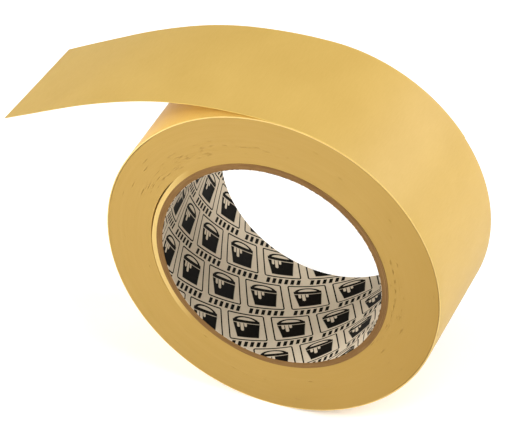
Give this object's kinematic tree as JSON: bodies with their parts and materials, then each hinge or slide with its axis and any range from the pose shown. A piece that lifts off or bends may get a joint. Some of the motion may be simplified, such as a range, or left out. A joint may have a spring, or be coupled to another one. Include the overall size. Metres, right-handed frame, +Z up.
{
  "type": "masking tape roll",
  "caption": "Roll of cream crepe-paper masking tape on a board core, with its free end peeled up from the top of the roll.",
  "frame": {"origin": "middle of the core's bore, on the roll's axis and half way along its width", "axes": "+Y along the roll's axis; +Z up; the tape leaves the top of the roll towards -X"},
  "size_m": [0.1527, 0.048, 0.1168],
  "materials": {
    "liner_print": "matte",
    "core_board": "matte",
    "crepe_paper": "matte",
    "adhesive": "satin"
  },
  "bodies": {
    "roll": {"core_liner": "liner_print", "core_ply_1": "core_board", "core_ply_2": "core_board", "core_ply_3": "core_board", "core_ply_4": "core_board", "wound_tape": "crepe_paper"},
    "tail_root": {"tail_root_backing": "crepe_paper", "tail_root_adhesive": "adhesive"},
    "tail_1": {"tail_backing_1": "crepe_paper", "tail_adhesive_1": "adhesive"},
    "tail_2": {"tail_backing_2": "crepe_paper", "tail_adhesive_2": "adhesive"},
    "tail_3": {"tail_backing_3": "crepe_paper", "tail_adhesive_3": "adhesive"},
    "tail_4": {"tail_backing_4": "crepe_paper", "tail_adhesive_4": "adhesive"}
  },
  "joints": [
    {"name": "unwind_spin", "type": "hinge", "parent": "roll", "child": "tail_root", "pos_m": [0, 0, 0], "axis": [0, 1, 0], "continuous": true},
    {"name": "peel_lift", "type": "hinge", "parent": "tail_root", "child": "tail_1", "pos_m": [0.00407, 0, 0.05821], "axis": [0, 1, 0], "range_deg": [0, 120], "stiffness_Nm_per_rad": 0.002, "springref_deg": 8.05},
    {"name": "tail_bend_1", "type": "hinge", "parent": "tail_1", "child": "tail_2", "pos_m": [-0.02191, 0, 0.05783], "axis": [0, 1, 0], "range_deg": [-20, 40], "stiffness_Nm_per_rad": 0.0015, "springref_deg": 5.91},
    {"name": "tail_bend_2", "type": "hinge", "parent": "tail_2", "child": "tail_3", "pos_m": [-0.0473, 0, 0.05244], "axis": [0, 1, 0], "range_deg": [-18, 40], "stiffness_Nm_per_rad": 0.001, "springref_deg": 3.8},
    {"name": "tail_bend_3", "type": "hinge", "parent": "tail_3", "child": "tail_4", "pos_m": [-0.07134, 0, 0.04257], "axis": [0, 1, 0], "range_deg": [-8, 40], "stiffness_Nm_per_rad": 0.0005, "springref_deg": 1.84}
  ]
}
